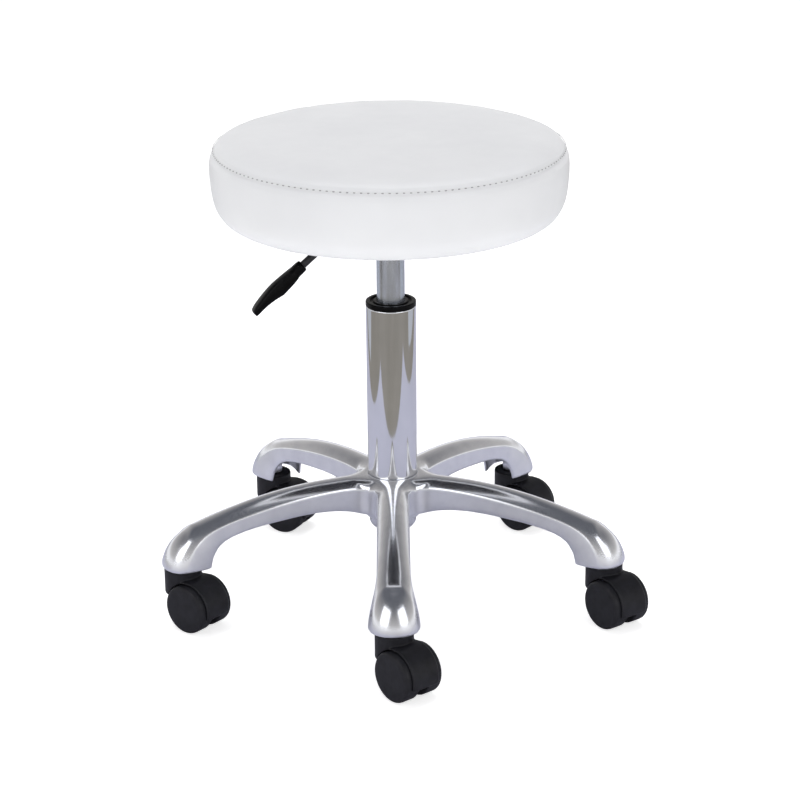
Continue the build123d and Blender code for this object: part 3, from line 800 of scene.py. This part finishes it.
def capsule(length, radius, flat, around=8):
    """Thread stitch along X: a rounded, slightly flattened bar."""
    ends = [(-0.5, 0.0), (-0.48, 0.55), (-0.4, 0.9), (0, 1.0), (0.4, 0.9), (0.48, 0.55), (0.5, 0.0)]
    points = []
    for x, r in ends:
        for k in range(around):
            a = 2 * pi * k / around
            points.append((length * x, radius * r * cos(a), flat * radius * r * sin(a)))
    return points, grid_faces(len(ends), around, wrap=True)


def stitches():
    """Topstitching under the seam: a thread between each pair of needle holes, whose dark grey is painted
    shade.
    """
    thread = Surface("stitch_thread", roughness=0.6)
    thread.colour(thread.noise(4000), (0.62, 0.62, 0.63), (0.78, 0.78, 0.78))
    thread.bump(thread.noise(6000, stretch=(1, 1, 3)), 0.4, 0.1)
    # Needle holes: dark grey dashes laid on the cover, painted shade that stands in for the shade inside each
    # hole.
    hole_shade = Surface("needle_hole_painted_shade", roughness=0.9)
    hole_shade.colour(hole_shade.noise(2000), (0.27, 0.27, 0.275), (0.36, 0.36, 0.365))
    for name, material, length, radius, offset, lift in (
        ("seam_thread", thread.material, 4.1, 0.42, 0.0, 0.06),
        ("seam_needle_holes_painted_shade", hole_shade.material, 2.2, 0.58, 0.5, 0.03),
    ):
        points, faces = [], []
        pts, fcs = capsule(length, radius, 0.6)
        for n in range(STITCHES):
            angle = 2 * pi * (n + offset) / STITCHES
            tilt = radians(52)
            place = Matrix.Rotation(angle, 4, "Z")
            place @= Matrix.Translation((STITCH[0] - 0.1 + lift, 0, STITCH[1] - 0.15))
            place @= Matrix.Rotation(tilt, 4, "Y") @ Matrix.Rotation(pi / 2, 4, "Z")
            start = len(points)
            points += [place @ Vector(p) for p in pts]
            faces += [[v + start for v in f] for f in fcs]
        obj = mesh_object(name, points, faces, material, "seat")
        fix_normals(obj, merge=0.000005)


# ---------------------------------------------------------------- stage, light and camera


def area_light(name, place, aim, size, power, colour=(1, 1, 1), shine=True):
    data = bpy.data.lights.new(name, "AREA")
    data.shape = "RECTANGLE"
    data.size, data.size_y = size
    data.energy = power
    data.color = colour
    light = bpy.data.objects.new(name, data)
    bpy.context.scene.collection.objects.link(light)
    light.location = place
    light.rotation_mode = "QUATERNION"
    light.rotation_quaternion = (Vector(aim) - Vector(place)).to_track_quat("-Z", "Y")
    light.visible_glossy = shine


def card(name, corners, dark, light, height):
    """A sheet on the floor that only shows in reflections, as a photographer's table and paper do."""
    surface = Surface(name, roughness=0.8)
    surface.colour(surface.noise(2), dark, light)
    sheet = mesh_object(name, [(x, y, height) for x, y in corners], [range(len(corners))], surface.material)
    sheet.visible_camera = sheet.visible_diffuse = sheet.visible_shadow = False


def stage():
    floor = Surface("studio_floor", roughness=0.7, Emission_Color=(1, 1, 1, 1), Emission_Strength=0.67)
    floor.colour(floor.noise(1.5), (0.87, 0.87, 0.875), (0.88, 0.88, 0.885))
    points = [(-9000, -9000, 0), (9000, -9000, 0), (9000, 9000, 0), (-9000, 9000, 0)]
    mesh_object("studio_floor", points, [(0, 1, 2, 3)], floor.material)
    card("table_top", [(-2600, -2600), (2600, -2600), (2600, 2600), (-2600, 2600)],
         (0.29, 0.27, 0.23), (0.34, 0.315, 0.275), 1.0)
    card("white_paper", [(-580, -470), (0, -478), (650, -470), (690, 2000), (-600, 2000)],
         (0.58, 0.585, 0.70), (0.62, 0.62, 0.73), 2.0)
    card("far_paper_left", [(-1700, 60), (-690, 240), (-640, 1500), (-1700, 1500)],
         (0.55, 0.58, 0.62), (0.6, 0.62, 0.66), 2.0)
    card("far_paper_right", [(800, -60), (1700, -200), (1700, 1500), (800, 1500)],
         (0.55, 0.58, 0.62), (0.6, 0.62, 0.66), 2.0)
    world = bpy.data.worlds.new("studio")
    bpy.context.scene.world = world
    world.use_nodes = True
    tree = world.node_tree
    back = tree.nodes["Background"]
    back.inputs["Strength"].default_value = 1.0
    place = tree.nodes.new("ShaderNodeTexCoord")
    split = tree.nodes.new("ShaderNodeSeparateXYZ")
    ramp = tree.nodes.new("ShaderNodeValToRGB")
    ramp.color_ramp.elements[0].color = (1, 1, 1, 1)
    ramp.color_ramp.elements[0].position = 0.12
    ramp.color_ramp.elements[1].color = (0.12, 0.125, 0.14, 1)
    ramp.color_ramp.elements[1].position = 0.85
    ramp.color_ramp.elements.new(0.24).color = (0.50, 0.485, 0.47, 1)
    tree.links.new(place.outputs["Generated"], split.inputs["Vector"])
    tree.links.new(split.outputs["Z"], ramp.inputs["Fac"])
    tree.links.new(ramp.outputs["Color"], back.inputs["Color"])
    area_light("softbox_left", (-2.1, -2.3, 2.0), (0, 0, 0.3), (2.3, 2.4), 29, (0.97, 0.98, 1))
    area_light("softbox_right", (2.1, -2.3, 2.0), (0, 0, 0.3), (2.1, 2.4), 25, (0.97, 0.98, 1))
    area_light("softbox_top", (0, 0.5, 2.6), (0, 0, 0.2), (2.0, 1.8), 42, shine=False)


def camera():
    data = bpy.data.cameras.new("camera")
    data.sensor_width = 36
    data.lens = 110.732
    obj = bpy.data.objects.new("camera", data)
    bpy.context.scene.collection.objects.link(obj)
    place, aim, roll = Vector((0, -2.3221, 1.0765)), Vector((0.00822, 0, 0.20985)), -0.0092
    ahead = (aim - place).normalized()
    right = ahead.cross(Vector((0, 0, 1))).normalized()
    up = right.cross(ahead)
    turned_right = right * cos(roll) + up * sin(roll)
    turned_up = up * cos(roll) - right * sin(roll)
    axes = Matrix((turned_right, turned_up, -ahead)).transposed()
    obj.matrix_world = Matrix.Translation(place) @ axes.to_4x4()
    bpy.context.scene.camera = obj


dress_cad_nodes()
star_base()
column()
casters()
lever_grip()
cushion()
stitches()
stage()
camera()
bpy.context.scene.view_settings.view_transform = "Standard"
